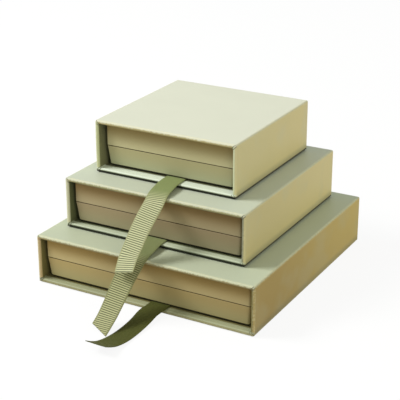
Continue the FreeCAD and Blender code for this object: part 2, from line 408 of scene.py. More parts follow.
class Recipe(Nodes):
    """A piece's material, with the few kinds of step that the finishes share."""

    def __init__(self, name: str) -> None:
        """Start a material with its shader and its place on the piece.

        Args:
            name: the material's name.
        """
        self.material = bpy.data.materials.new(name)
        super().__init__(self.material, "Material")
        self.shader = self.tree.nodes.new("ShaderNodeBsdfPrincipled")
        self.feed(self.surface, self.shader.outputs["BSDF"])
        self.place = self.tree.nodes.new("ShaderNodeTexCoord").outputs["Object"]
        split = self.tree.nodes.new("ShaderNodeSeparateXYZ")
        self.feed(split.inputs["Vector"], self.place)
        self.x, self.y, self.z = split.outputs

    def set(self, **values: object) -> None:
        """Set or link the shader's inputs, named with underscores for spaces."""
        for name, value in values.items():
            self.feed(self.shader.inputs[name.replace("_", " ")], value)

    def scaled(self, value: object, factor: float, base: object) -> Socket:
        """A value times a factor, and a base added to that."""
        return self.math("MULTIPLY_ADD", value, factor, base)

    def product(self, first: object, *others: object) -> Socket:
        """Multiply several values.

        Args:
            first: a socket or a number.
            others: more of them.

        Returns:
            The socket with the product.
        """
        for other in others:
            first = self.math("MULTIPLY", first, other)
        return first

    def span(self, value: object, start: float, end: float) -> Socket:
        """A smooth rise from 0 to 1 while a value goes from start to end.

        Args:
            value: the socket to read.
            start: where the rise starts.
            end: where it ends, which may be below the start.

        Returns:
            The socket with the share from 0 to 1.
        """
        rising = end > start
        limits = {
            "From Min": min(start, end),
            "From Max": max(start, end),
            "To Min": 0.0 if rising else 1.0,
            "To Max": 1.0 if rising else 0.0,
        }
        return self.step(
            "MapRange", "Result", {"Value": value, **limits}, interpolation_type="SMOOTHSTEP"
        )

    def band(self, axis: object, edge: float, band: Span, inward: int = 1) -> Socket:
        """A smooth rise between two distances in from an edge.

        Args:
            axis: the socket with the place along an axis.
            edge: where the edge stands on that axis.
            band: how far in the rise starts and ends, in millimetres.
            inward: 1 where inward is up the axis, and -1 where it is down.

        Returns:
            The socket with the share from 0 to 1.
        """
        start, end = (edge + inward * distance * MM for distance in band)
        return self.span(axis, start, end)

    def reach(self, axis: Socket, middle: float) -> Socket:
        """Distance from the middle of the piece along one axis."""
        return self.math("ABSOLUTE", self.math("SUBTRACT", axis, middle))

    def noise(self, size: float, detail: float = 2.0, stretch: Place = (1, 1, 1)) -> Socket:
        """Soft noise fixed to the piece.

        Args:
            size: the size of its blots, in metres.
            detail: how many finer layers it has.
            stretch: how much closer it is packed along each axis.

        Returns:
            The socket with the noise, about 0.5 on average.
        """
        place = self.step("Mapping", "Vector", {"Vector": self.place, "Scale": stretch})
        return self.step("TexNoise", "Fac", {"Vector": place, "Scale": 1 / size, "Detail": detail})

    def mark(self, mark: Mark) -> Socket:
        """What the piece's own mesh says of each point."""
        return self.step("Attribute", "Fac", {}, attribute_name=mark.value)

    def mix(self, share: object, first: Paint, second: Paint) -> Socket:
        """Blend two colours.

        Args:
            share: how much of the second, from 0 to 1.
            first: a colour, or a socket with one.
            second: a colour, or a socket with one.

        Returns:
            The socket with the blend.
        """
        inputs = {MIX_SHARE: share, MIX_FIRST: first, MIX_SECOND: second}
        for number, paint in ((MIX_FIRST, first), (MIX_SECOND, second)):
            if not isinstance(paint, Socket):
                inputs[number] = linear(paint)
        return self.step("Mix", MIX_RESULT, inputs, data_type="RGBA")

    def layers(self, colour: Paint, *coats: tuple[object, Rgb]) -> Socket:
        """Lay coats of colour over a ground, one after the other.

        Args:
            colour: the ground.
            coats: how much of each coat shows, from 0 to 1, and its colour.

        Returns:
            The socket with the colour on top.
        """
        for share, coat in coats:
            colour = self.mix(share, colour, coat)
        return colour

    def tone(self, colour: object, level: object) -> Socket:
        """Make a linear colour or a socket with one lighter or darker by about 1."""
        return self.step("VectorMath", 0, {"Vector": colour, "Scale": level}, operation="SCALE")

    def bump(self, height: Socket, depth: float) -> None:
        """Raise the surface by a height from 0 to 1, at most to a depth in metres."""
        self.set(Normal=self.step("Bump", "Normal", {"Height": height, "Distance": depth}))

    def dress(self, piece: Piece) -> None:
        """Put the material on every face of a piece."""
        piece.data.materials.clear()
        piece.data.materials.append(self.material)


@dataclass(frozen=True)
class PaperTouch:
    """The feel that all the papers share: a fine tooth under a soft pearl sheen."""

    roughness: float = 0.5
    gloss: float = 0.25
    sheen: float = 0.05
    sheen_roughness: float = 0.4
    mottle_size: float = 16 * MM
    mottle_detail: float = 3.0
    mottle: float = 0.05
    fibre_size: float = 0.35 * MM
    fibre_detail: float = 4.0
    fibre: float = 0.05
    tooth: float = 0.012 * MM

    def apply(self, recipe: Recipe, colour: object) -> None:
        """Finish a paper: cloudy and fibrous colour, sheen and tooth.

        Args:
            recipe: the material that is being made.
            colour: the paper's plain colour, as a socket or linear.
        """
        clouds = recipe.noise(self.mottle_size, self.mottle_detail)
        fibres = recipe.noise(self.fibre_size, self.fibre_detail)
        level = recipe.scaled(clouds, self.mottle, 1 - self.mottle / 2 - self.fibre / 2)
        level = recipe.scaled(fibres, self.fibre, level)
        recipe.set(Base_Color=recipe.tone(colour, level))
        recipe.set(Roughness=self.roughness, Specular_IOR_Level=self.gloss)
        recipe.set(Sheen_Weight=self.sheen, Sheen_Roughness=self.sheen_roughness)
        recipe.bump(fibres, self.tooth)


@dataclass(frozen=True)
class SleeveBands:
    """How far in from the cover's edges its colours start and end, in millimetres."""

    top: Span = (0.7, 0.2)
    inside: Span = (1.3, 1.8)
    left_side: Span = (1.0, 2.0)
    foot_shade: Span = (5.0, 1.0)
    shade: Span = (1.5, 0.9)
    pale_fold: Span = (1.5, 0.5)
    pale_mouth: Span = (1.5, 0.6)
    mouth: Span = (1.0, 0.3)
    side_lip: Span = (2.3, 1.7)
    right_fold: Span = (0.8, 0.5)
    rim: Span = (0.95, 0.65)
    floor: Span = (2.5, 2.0)
    foot_lip: Span = (1.7, 1.2)
    lit_recess: Span = (0.9, 0.0)
    lit_foot: Span = (0.8, 1.2)
    lit_side: Span = (1.3, 1.8)


@dataclass(frozen=True)
class SleevePaper:
    """The cover paper of a sleeve, by where it lies on the box, each face painted with the light
    and shade that falls on it.
    """

    top: Rgb
    # side and far_side are the right side in painted warm shade, lighter towards the back;
    # left_side is nearer the paper's own colour
    side: Rgb
    far_side: Rgb
    left_side: Rgb
    # the lips are painted light and shade too: painted shade on the upper lip below its pale rim,
    # on the lower boxes' right lips and on the roll's lower face (foot_lip); floor is the painted
    # lit strip inside the mouth
    upper_lip: Rgb
    left_lip: Rgb
    right_lip: Rgb
    foot_lip: Rgb
    floor: Rgb
    # inside is the paper turned in inside the sleeve, in painted shade
    inside: Rgb
    # painted shade towards the foot of the sides, and how strong it is
    foot_shade: Rgb = (104, 116, 92)
    foot_shade_share: float = 0.4
    cloud: float = 0.16
    cloud_size: float = 18 * MM
    cloud_range: Span = (0.45, 0.68)
    # painted contact shadow along the foot of the cover; shading is its strength, 0 for the box on
    # the floor
    shade: Rgb = (20, 24, 12)
    shading: float = 1.0
    # a paler, speckled colour along the folds and round the mouth, and how much of it shows
    edge_pale: Rgb = (232, 224, 180)
    edge_pale_share: float = 0.5
    speckling: float = 0.4
    speck_size: float = 0.8 * MM
    speck_detail: float = 3.0
    speck_range: Span = (0.42, 0.62)
    ragged_rim: float = 1.6 * MM
    bands: SleeveBands = SleeveBands()
    touch: PaperTouch = PaperTouch()

    def dress(self, piece: Piece, name: str, limits: Limits, recess: float) -> None:
        """Make the paper and put it on a sleeve's cover.

        Args:
            piece: the cover.
            name: the material's name.
            limits: the cover's corners.
            recess: how far behind the mouth the drawer's front stands.
        """
        recipe = Recipe(name)
        low, high, middle, half = limits.low, limits.high, limits.middle, limits.size / 2
        bands = self.bands
        clouds = recipe.span(recipe.noise(self.cloud_size), *self.cloud_range)
        # painted shade towards the foot of the sides
        foot = recipe.band(recipe.z, low.z, bands.foot_shade)
        # painted contact shadow along the foot
        under = recipe.band(recipe.z, low.z, bands.shade)
        reach_x = recipe.reach(recipe.x, middle.x)
        reach_z = recipe.reach(recipe.z, middle.z)
        depth_x = recipe.math("SUBTRACT", half.x, reach_x)
        depth_z = recipe.math("SUBTRACT", half.z, reach_z)
        depth = recipe.math("MINIMUM", depth_x, depth_z)
        # painted light on the sides: the right side in painted warm shade, lighter towards the
        # back, the left side nearer the paper's own colour
        along = recipe.span(recipe.y, low.y, high.y)
        colour = recipe.mix(along, self.side, self.far_side)
        right = recipe.band(recipe.x, low.x, bands.left_side)
        colour = recipe.mix(right, self.left_side, colour)
        colour = recipe.layers(
            colour,
            (recipe.product(clouds, self.cloud), self.top),
            (recipe.product(foot, self.foot_shade_share), self.foot_shade),
            (recipe.band(recipe.z, high.z, bands.top, -1), self.top),
            # painted shade on the paper turned in inside the sleeve
            (recipe.band(depth, 0.0, bands.inside), self.inside),
        )
        colour = self.lips(recipe, limits, recess, colour)
        fold_x = recipe.band(reach_x, half.x, bands.pale_fold, -1)
        fold_z = recipe.band(reach_z, half.z, bands.pale_fold, -1)
        mouth = recipe.band(recipe.y, low.y, bands.pale_mouth)
        edges = recipe.product(fold_x, fold_z)
        for fold in (fold_x, fold_z):
            edges = recipe.math("MAXIMUM", edges, recipe.product(fold, mouth))
        specks = recipe.noise(self.speck_size, self.speck_detail)
        speckling = recipe.span(specks, *self.speck_range)
        speckling = recipe.scaled(speckling, 1 - self.speckling, self.speckling)
        colour = recipe.layers(
            colour,
            (recipe.product(edges, speckling, self.edge_pale_share), self.edge_pale),
            (recipe.product(under, self.shading), self.shade),
        )
        self.touch.apply(recipe, colour)
        recipe.dress(piece)

    def lips(self, recipe: Recipe, limits: Limits, recess: float, colour: Socket) -> Socket:
        """Colour the rolled mouth with painted light and shade: its four lips, their folds and the
        floor behind.

        Args:
            recipe: the material that is being made.
            limits: the cover's corners.
            recess: how far behind the mouth the drawer's front stands.
            colour: the colour of the rest of the paper.

        Returns:
            The socket with the colour of the whole paper.
        """
        low, high, bands = limits.low, limits.high, self.bands
        specks = recipe.noise(self.speck_size, self.speck_detail)
        uneven = recipe.math("SUBTRACT", specks, 0.5)
        ragged = recipe.scaled(uneven, self.ragged_rim, recipe.z)
        floor = recipe.band(recipe.z, low.z, bands.floor)
        # painted shade on the upper lip below its pale ragged rim, on the right lip and on the
        # roll's lower face
        lip = recipe.layers(
            self.upper_lip,
            (recipe.band(recipe.x, low.x, bands.side_lip), self.left_lip),
            (recipe.band(recipe.x, high.x, bands.side_lip, -1), self.right_lip),
            (recipe.band(recipe.x, high.x, bands.right_fold, -1), self.side),
            (floor, self.floor),
            (recipe.band(recipe.z, low.z, bands.foot_lip), self.foot_lip),
            (recipe.band(ragged, high.z, bands.rim, -1), self.top),
        )
        # painted light on the floor inside the mouth, as far in as the drawer's front
        lit = recipe.product(
            floor,
            recipe.band(recipe.y, low.y + recess, bands.lit_recess),
            recipe.band(recipe.z, low.z, bands.lit_foot),
            recipe.band(recipe.x, low.x, bands.lit_side),
            recipe.band(recipe.x, high.x, bands.lit_side, -1),
        )
        colour = recipe.mix(lit, colour, self.floor)
        return recipe.mix(recipe.band(recipe.y, low.y, bands.mouth), colour, lip)


@dataclass(frozen=True)
class CasePaper:
    """The cover paper of a tray or a lid: its front from foot to top, and the rest. The front's
    colours hold painted light and shade: on a lid darker up under the sleeve's lip, and on both
    darker towards the right.

    The bands are distances in from the cover's edges, in millimetres.
    """

    # low and high colour the front from its foot to its top with painted light and shade;
    # right_shade_level darkens its right end with painted shade; plain is the paper elsewhere
    low: Rgb
    high: Rgb
    plain: Rgb
    right_shade_level: float
    # painted shade in the seam where lid and tray meet
    seam_shade: Rgb = (72, 62, 38)
    # shade is a painted shadow along the tray's foot
    shade: Rgb = (30, 28, 16)
    top_margin: float = 0.5 * MM
    front_band: Span = (4.0, 1.0)
    level_band: Span = (0.4, 0.8)
    seam_shade_band: Span = (0.3, 0.1)
    shade_band: Span = (0.9, 0.5)
    touch: PaperTouch = PaperTouch(roughness=0.55, gloss=0.15)

    def dress(self, piece: Piece, name: str, limits: Limits, upturned: bool) -> None:
        """Make the paper and put it on a case's cover.

        Args:
            piece: the cover.
            name: the material's name.
            limits: the cover's corners.
            upturned: whether its rim is at its foot.
        """
        recipe = Recipe(name)
        low, high = limits.low, limits.high
        # painted light and shade on the front: from foot to top, and darker towards the right
        rise = recipe.span(recipe.z, low.z, high.z - self.top_margin)
        across = recipe.span(recipe.x, low.x, high.x)
        level = recipe.scaled(across, self.right_shade_level - 1, 1.0)
        colour = recipe.tone(recipe.mix(rise, self.low, self.high), level)
        front = recipe.band(recipe.y, low.y, self.front_band)
        if upturned:
            below_top = recipe.band(recipe.z, high.z, self.level_band, -1)
            front = recipe.product(front, below_top)
        colour = recipe.mix(front, self.plain, colour)
        # painted shade in the seam, at the rim of a lid or a tray
        if upturned:
            seam_shade = recipe.band(recipe.z, low.z, self.seam_shade_band)
        else:
            seam_shade = recipe.band(recipe.z, high.z, self.seam_shade_band, -1)
            # painted shadow along the tray's foot
            under = recipe.band(recipe.z, low.z, self.shade_band)
            colour = recipe.mix(under, colour, self.shade)
        self.touch.apply(recipe, recipe.mix(seam_shade, colour, self.seam_shade))
        recipe.dress(piece)


@dataclass(frozen=True)
class PlainPaper:
    """An even paper: linings, the back sheet, the base sheet and the hinge strip."""

    colour: Rgb
    touch: PaperTouch = PaperTouch()

    def dress(self, piece: Piece, name: str) -> None:
        """Make the paper and put it on a sheet.

        Args:
            piece: the sheet.
            name: the material's name.
        """
        recipe = Recipe(name)
        self.touch.apply(recipe, linear(self.colour)[:3])
        recipe.dress(piece)


@dataclass(frozen=True)
class Greyboard:
    """Pressed grey board: a dull flecked pulp with layers at its cut edges."""

    colour: Rgb = (132, 126, 114)
    fleck: Rgb = (92, 86, 78)
    fleck_size: float = 0.5 * MM
    fleck_detail: float = 5.0
    fleck_range: Span = (0.56, 0.7)
    layer_size: float = 0.6 * MM
    layer_stretch: Place = (0.08, 0.08, 1.0)
    layer_contrast: float = 0.16
    roughness: float = 0.9
    pit_depth: float = 0.05 * MM

    def dress(self, piece: Piece, name: str) -> None:
        """Make the board and put it on a panel.

        Args:
            piece: the panel.
            name: the material's name.
        """
        recipe = Recipe(name)
        pulp = recipe.noise(self.fleck_size, self.fleck_detail)
        layers = recipe.noise(self.layer_size, stretch=self.layer_stretch)
        colour = recipe.mix(recipe.span(pulp, *self.fleck_range), self.colour, self.fleck)
        level = recipe.scaled(layers, self.layer_contrast, 1 - self.layer_contrast / 2)
        recipe.set(Base_Color=recipe.tone(colour, level), Roughness=self.roughness)
        recipe.bump(pulp, self.pit_depth)
        recipe.dress(piece)


@dataclass(frozen=True)
class Grosgrain:
    """Ribbed ribbon: rounded ribs painted lighter on their crests and with painted shade in the
    grooves, an even colour by the mouth, and a plain woven edge.
    """

    # rib and groove are painted light and shade across the ribs; near is the even colour by the
    # mouth, without it
    rib: Rgb
    groove_shade: Rgb
    near: Rgb
    selvedge: Rgb
    rib_range: Span = (0.35, 0.95)
    roughness: float = 0.55
    gloss: float = 0.2
    sheen: float = 0.05
    sheen_roughness: float = 0.35
    yarn_size: float = 0.25 * MM
    yarn_detail: float = 3.0
    yarn_stretch: Place = (3.0, 1.0, 1.0)
    yarn_contrast: float = 0.24
    yarn_depth: float = 0.03 * MM

    def dress(self, piece: Piece, name: str) -> None:
        """Make the weave from the ribbon's attributes and put it on a ribbon.

        Args:
            piece: the ribbon.
            name: the material's name.
        """
        recipe = Recipe(name)
        yarn = recipe.noise(self.yarn_size, self.yarn_detail, self.yarn_stretch)
        raised = recipe.span(recipe.mark(Mark.RIB), *self.rib_range)
        colour = recipe.layers(
            self.groove_shade,
            (raised, self.rib),
            (recipe.mark(Mark.EDGE), self.selvedge),
            (recipe.mark(Mark.NEAR), self.near),
        )
        level = recipe.scaled(yarn, self.yarn_contrast, 1 - self.yarn_contrast / 2)
        recipe.set(Base_Color=recipe.tone(colour, level))
        recipe.set(Roughness=self.roughness, Specular_IOR_Level=self.gloss)
        recipe.set(Sheen_Weight=self.sheen, Sheen_Roughness=self.sheen_roughness)
        recipe.bump(yarn, self.yarn_depth)
        recipe.dress(piece)


def install(piece: Piece, node: str, body: str) -> None:
    """Put a finished piece in the place of a node of the frame.

    Args:
        piece: the finished piece.
        node: the node that it replaces.
        body: the body that it rides on.
    """
    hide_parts(node)
    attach(piece, body)
    log.info("%s in place of %s, %d faces", piece.name, node, len(piece.data.polygons))


@dataclass
class Cover(ABC):
    """The paper over a sleeve, a tray or a lid, which starts as a block."""

    box: BoxName
    slot: Slot
    paper: SleevePaper | CasePaper
    ripple: float
    ripple_size: float

    @property
    def name(self) -> str:
        """The box and which part of it the paper covers."""
        return f"{self.box.value}_{self.slot.value.removesuffix('_paper')}"

    @cached_property
    def limits(self) -> Limits:
        """The cover's corners."""
        return Limits.of(f"{self.name}_cover_paper")

    @cached_property
    def cover(self) -> Piece:
        """The object, a block at first."""
        return Bench.block(f"{self.name}_cover", self.limits)

    def build(self) -> None:
        """Model the cover, dress it and put it in the frame."""
        self.wrap()
        self.round_edges()
        self.divide()
        Bench.ripple(self.cover, self.ripple_size, self.ripple, self.unevenness)
        Bench.work(self.cover, "SOLIDIFY", thickness=PAPER, offset=-1.0, use_even_offset=True)
        self.mitre()
        Bench.smooth(self.cover)
        Bench.work(self.cover, "WEIGHTED_NORMAL", keep_sharp=True)
        self.dress()
        body = "sleeve" if self.slot is Slot.SLEEVE else "drawer"
        install(self.cover, f"{self.name}_cover_paper", f"{self.box.value}_{body}")

    @abstractmethod
    def wrap(self) -> None:
        """Turn the block into the sheet's folded form."""

    @abstractmethod
    def round_edges(self) -> None:
        """Round its folds and edges."""

    @abstractmethod
    def divide(self) -> None:
        """Cut it into cells."""

    @abstractmethod
    def dress(self) -> None:
        """Give it its colours."""

    def unevenness(self, place: Vector) -> float:
        """How uneven the paper is at a place, from 0 to 1."""
        return 1.0

    def mitre(self) -> None:
        """Cut its corners, where they are cut."""


@dataclass
class Sleeve(Cover):
    """A sleeve's cover: one sheet round four sides, rolled in at the mouth and mitred."""

    ripple: float = 0.16 * MM
    ripple_size: float = 5.0 * MM
    fold_ripple: float = 0.5
    fold_radius: float = 1.0 * MM
    fold_steps: int = 5
    roll_radius: float = 0.8 * MM
    rear_radius: float = 0.35 * MM
    turn_in: float = 12.0 * MM
    rear_flange: float = 5.0 * MM
    slit_width: float = 0.30 * MM
    slit_start: float = 0.45 * MM
    slit_length: float = 1.6 * LIP
    slit_depth: float = 0.8 * MM
    dart_start: float = 0.8 * MM
    dart_length: float = 2.0 * MM
    dart_width: float = 0.6 * MM
    dart_thickness: float = 0.12 * MM
    dart_height: float = 0.05 * MM
    dart_cuts: int = 9
    dart_drop: Span = (-1.5 * MM, -1.3 * MM)
    cell: float = 5.0 * MM
    fold_margin: float = 0.4 * MM
    mouth_cuts: Span = (0.5 * MM, 2.0 * MM)

    def wrap(self) -> None:
        """Turn a block into the open sleeve: mouth turned in, rear turned over."""
        with Bench.editing(self.cover):
            Bench.pick(self.cover, lambda middle, normal: normal.y < -FACING)
            bpy.ops.mesh.inset(thickness=LIP, depth=0)
            bpy.ops.mesh.extrude_region_move(
                TRANSFORM_OT_translate={"value": (0, self.turn_in, 0)}
            )
            bpy.ops.mesh.delete(type="FACE")
            Bench.pick(self.cover, lambda middle, normal: normal.y > FACING)
            bpy.ops.mesh.inset(thickness=self.rear_flange, depth=0)
            bpy.ops.mesh.delete(type="FACE")

    def round_edges(self) -> None:
        """Round the four folds, the roll at the mouth and the edges at the rear."""
        low, high = self.limits.low, self.limits.high
        rear = self.rear_radius / self.fold_radius
        roll = self.roll_radius / self.fold_radius

        def weight(first: Vector, second: Vector) -> float:
            """The share of the fold radius for one edge.

            Args:
                first: the place of one of its ends.
                second: the place of the other.

            Returns:
                The share, from 0 to 1.
            """
            at_mouth = max(first.y, second.y) < low.y + NEAR
            at_rear = min(first.y, second.y) > high.y - NEAR
            both = [
                [abs(end[axis] - side[axis]) < NEAR for end in (first, second)]
                for axis in (0, 2) for side in (low, high)
            ]
            outer = sum(all(pair) for pair in both)
            level = min(abs(first.x - second.x), abs(first.z - second.z)) < NEAR
            if at_mouth:
                return roll if level else 0.0
            if at_rear:
                return rear if outer else 0.0
            return 1.0 if outer == 2 else 0.0

        Bench.round_over(self.cover, self.fold_radius, self.fold_steps, weight)

    def divide(self) -> None:
        """Cut the cover into cells, close together beside the folds and the mouth."""
        with Bench.editing(self.cover):
            Bench.cells(self.limits, (0, 2), self.fold_radius + self.fold_margin, self.cell)
            mouth = self.limits.low.y + self.roll_radius
            rear = self.limits.high.y - self.rear_radius
            places = [mouth + place for place in self.mouth_cuts]
            places.append(rear - self.fold_margin)
            steps = round((rear - mouth) / (2 * self.cell))
            Bench.slice(1, places + Bench.even(mouth, rear, steps)[1:-1])

    def unevenness(self, place: Vector) -> float:
        """How uneven the paper is at a place.

        Args:
            place: a place on the cover.

        Returns:
            1 at the mouth, less at the folds, and 0 on the flat panels.
        """
        if place.y < self.limits.low.y + self.roll_radius:
            return 1.0
        middle, half = self.limits.middle, self.limits.size / 2
        at_side = abs(place.x - middle.x) > half.x - self.fold_radius
        at_level = abs(place.z - middle.z) > half.z - self.fold_radius
        return self.fold_ripple if at_side and at_level else 0.0

    def dress(self) -> None:
        """Give it its colours, with light as far in as the drawer's front."""
        tray = Limits.of(f"{self.box.value}_tray_cover_paper")
        recess = tray.low.y - self.limits.low.y
        self.paper.dress(self.cover, f"{self.name}_paper", self.limits, recess)

    def mitre(self) -> None:
        """Cut two fine diagonal slits at each corner of the mouth, with a dart between."""
        low, high = self.limits.low, self.limits.high
        half = self.slit_width / 2
        slit_end = self.slit_start + self.slit_length
        cutters = []
        darts = []
        for side_x, turn_x in ((low.x, 1), (high.x, -1)):
            for side_z, turn_z in ((low.z, 1), (high.z, -1)):
                corner = Matrix.Translation(Vector((side_x, low.y, side_z)))
                turn = corner @ Matrix.Rotation(-math.atan2(turn_z, turn_x), 4, "Y")
                for side in (1, -1):
                    off = side * (self.dart_width + self.slit_width) / 2
                    slit = Limits(
                        Vector((self.slit_start, -self.slit_depth, off - half)),
                        Vector((slit_end, self.slit_depth, off + half)),
                    )
                    cutters.append(self.placed(f"slit_{len(cutters)}", slit, turn))
                darts.append(self.dart(turn, len(darts)))
        Bench.join(cutters[0], cutters[1:])
        Bench.work(
            self.cover, "BOOLEAN", object=cutters[0], operation="DIFFERENCE", solver="EXACT"
        )
        bpy.data.objects.remove(cutters[0], do_unlink=True)
        Bench.join(self.cover, darts)

    def placed(self, name: str, limits: Limits, place: Matrix) -> Piece:
        """A block that is turned and moved to a corner of the mouth.

        Args:
            name: the block's name.
            limits: its corners before it is turned.
            place: its turn and place.

        Returns:
            The block, with its place in its mesh.
        """
        block = Bench.block(name, limits)
        block.matrix_world = place
        Bench.settle(block)
        return block

    def dart(self, place: Matrix, index: int) -> Piece:
        """The narrow fold of paper that is pinched up between two mitre slits.

        Args:
            place: the turn and place of the corner.
            index: the number of the corner.

        Returns:
            The fold, laid onto the cover.
        """
        front, back = self.dart_drop
        half = self.dart_width / 2
        sheet = Limits(
            Vector((self.dart_start, front, -half)),
            Vector((self.dart_start + self.dart_length, back, half)),
        )
        fold = self.placed(f"dart_{index}", sheet, place)
        with Bench.editing(fold):
            Bench.pick(fold, lambda middle, normal: normal.y < FACING)
            bpy.ops.mesh.delete(type="FACE")
            bpy.ops.mesh.select_all(action="SELECT")
            bpy.ops.mesh.subdivide(number_cuts=self.dart_cuts)
            bpy.ops.mesh.flip_normals()
        Bench.work(
            fold, "SHRINKWRAP", target=self.cover, wrap_method="PROJECT",
            wrap_mode="ABOVE_SURFACE", use_project_y=True, use_positive_direction=True,
            use_negative_direction=False, offset=self.dart_height
        )
        Bench.work(fold, "SOLIDIFY", thickness=self.dart_thickness, offset=1.0)
        return fold


@dataclass
class CaseCover(Cover):
    """The cover of a tray or a lid: a tapered wrap with its rim turned in."""

    ripple: float = 0.10 * MM
    ripple_size: float = 9.0 * MM
    taper: float = 0.0
    corner_radius: float = 1.0 * MM
    corner_steps: int = 4
    rim_radius: float = 0.45 * MM
    foot_radius: float = 0.5 * MM
    wall: float = 1.9 * MM
    lining_rise: float = 3.2 * MM
    cell: float = 6.0 * MM
    corner_margin: float = 0.4 * MM
    level_margin: float = 0.9 * MM

    @property
    def upturned(self) -> bool:
        """Whether its rim is at its foot, as a lid's is."""
        return self.slot is Slot.LID

    def wrap(self) -> None:
        """Turn a block into the case: foot drawn in by the taper, rim turned in."""
        rim = -1 if self.upturned else 1
        size = self.limits.size
        depth = size.z - self.lining_rise
        with Bench.editing(self.cover):
            Bench.pick(self.cover, lambda middle, normal: normal.z * rim < -FACING)
            self.draw_in(self.taper, size)
            Bench.pick(self.cover, lambda middle, normal: normal.z * rim > FACING)
            bpy.ops.mesh.inset(thickness=self.wall, depth=0)
            bpy.ops.mesh.extrude_region_move(
                TRANSFORM_OT_translate={"value": (0, 0, -rim * depth)}
            )
            inner = size - 2 * self.wall * Vector((1, 1, 1))
            self.draw_in(self.taper * depth / size.z, inner)
            bpy.ops.mesh.delete(type="FACE")

    def draw_in(self, lean: float, size: Vector) -> None:
        """Make the selected face smaller, in edit mode.

        Args:
            lean: how far each of its sides moves in, or 0 to leave it.
            size: the face's size along each axis.
        """
        if lean:
            shares = [1 - 2 * lean / side for side in size[:2]]
            bpy.ops.transform.resize(value=(*shares, 1))

    def round_edges(self) -> None:
        """Round the upright corners, the foot and the rim."""
        low, high = self.limits.low.z, self.limits.high.z
        rim, foot = (low, high) if self.upturned else (high, low)
        middle, half = self.limits.middle, self.limits.size / 2

        def weight(first: Vector, second: Vector) -> float:
            """The share of the corner radius for one edge.

            Args:
                first: the place of one of its ends.
                second: the place of the other.

            Returns:
                The share, from 0 to 1.
            """
            level = min(abs(first.x - second.x), abs(first.y - second.y)) < NEAR
            if max(abs(first.z - rim), abs(second.z - rim)) < NEAR:
                return self.rim_radius / self.corner_radius if level else 0.0
            if max(abs(first.z - foot), abs(second.z - foot)) < NEAR:
                return self.foot_radius / self.corner_radius
            reach = max(abs(end.x - middle.x) for end in (first, second))
            outer = reach > half.x - self.wall / 2
            upright = abs(first.z - second.z) > half.z
            return 1.0 if outer and upright else 0.0

        Bench.round_over(self.cover, self.corner_radius, self.corner_steps, weight)

    def divide(self) -> None:
        """Cut the cover into cells, close together beside the corners."""
        edge = self.corner_radius + self.taper + self.corner_margin
        low, high = self.limits.low.z, self.limits.high.z
        with Bench.editing(self.cover):
            Bench.cells(self.limits, (0, 1), edge, self.cell)
            thirds = [(2 * low + high) / 3, (low + 2 * high) / 3]
            Bench.slice(2, [low + self.level_margin, *thirds, high - self.level_margin])

    def dress(self) -> None:
        """Give it its colours."""
        self.paper.dress(self.cover, f"{self.name}_paper", self.limits, self.upturned)


class Station(NamedTuple):
    """A step along a ribbon, with the ways across it and out of its upper face."""

    distance: float
    place: Vector
    across: Vector
    out: Vector


